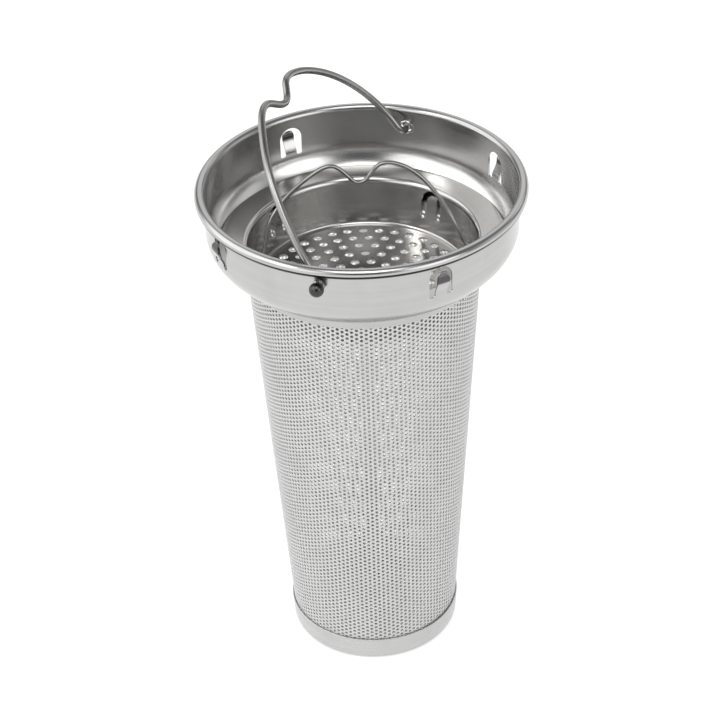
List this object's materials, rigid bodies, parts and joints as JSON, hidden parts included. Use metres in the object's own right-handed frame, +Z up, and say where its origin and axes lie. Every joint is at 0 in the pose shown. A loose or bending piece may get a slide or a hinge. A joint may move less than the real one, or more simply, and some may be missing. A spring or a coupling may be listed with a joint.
{
  "type": "basket strainer",
  "caption": "Two-stage steel basket strainer: tapered perforated tube with flanged collar and wire bail, holding a lift-out inner basket with its own wire bail.",
  "frame": {"origin": "centre of the flat base, on the surface the strainer stands on", "axes": "+Z up along the tube's axis through the open top; +X to the right and +Y to the back as the object is normally shown"},
  "size_m": [0.092, 0.092, 0.1788],
  "materials": {
    "collar_steel": "satin, drawn",
    "mesh_steel": "satin, punched",
    "cap_steel": "satin",
    "bail_wire": "drawn wire, satin",
    "basket_steel": "bright, polished",
    "inner_wire": "bright drawn wire"
  },
  "bodies": {
    "strainer": {"collar": "collar_steel", "mesh_tube": "mesh_steel", "bottom_cap": "cap_steel"},
    "outer_handle": {"outer_bail": "bail_wire"},
    "basket": {"inner_basket": "basket_steel"},
    "inner_handle": {"inner_bail": "inner_wire"}
  },
  "joints": [
    {"name": "outer_bail_hinge", "type": "hinge", "parent": "strainer", "child": "outer_handle", "pos_m": [0.00096, -0.0003, 0.1461], "axis": [0.2957, 0.9553, 0], "range_deg": [-52, 117]},
    {"name": "basket_lift", "type": "slide", "parent": "strainer", "child": "basket", "axis": [0, 0, 1], "range_m": [0, 0.009]},
    {"name": "inner_bail_hinge", "type": "hinge", "parent": "basket", "child": "inner_handle", "pos_m": [0, 0, 0.12625], "axis": [0.972, 0.2351, 0], "range_deg": [-78, 120]}
  ]
}
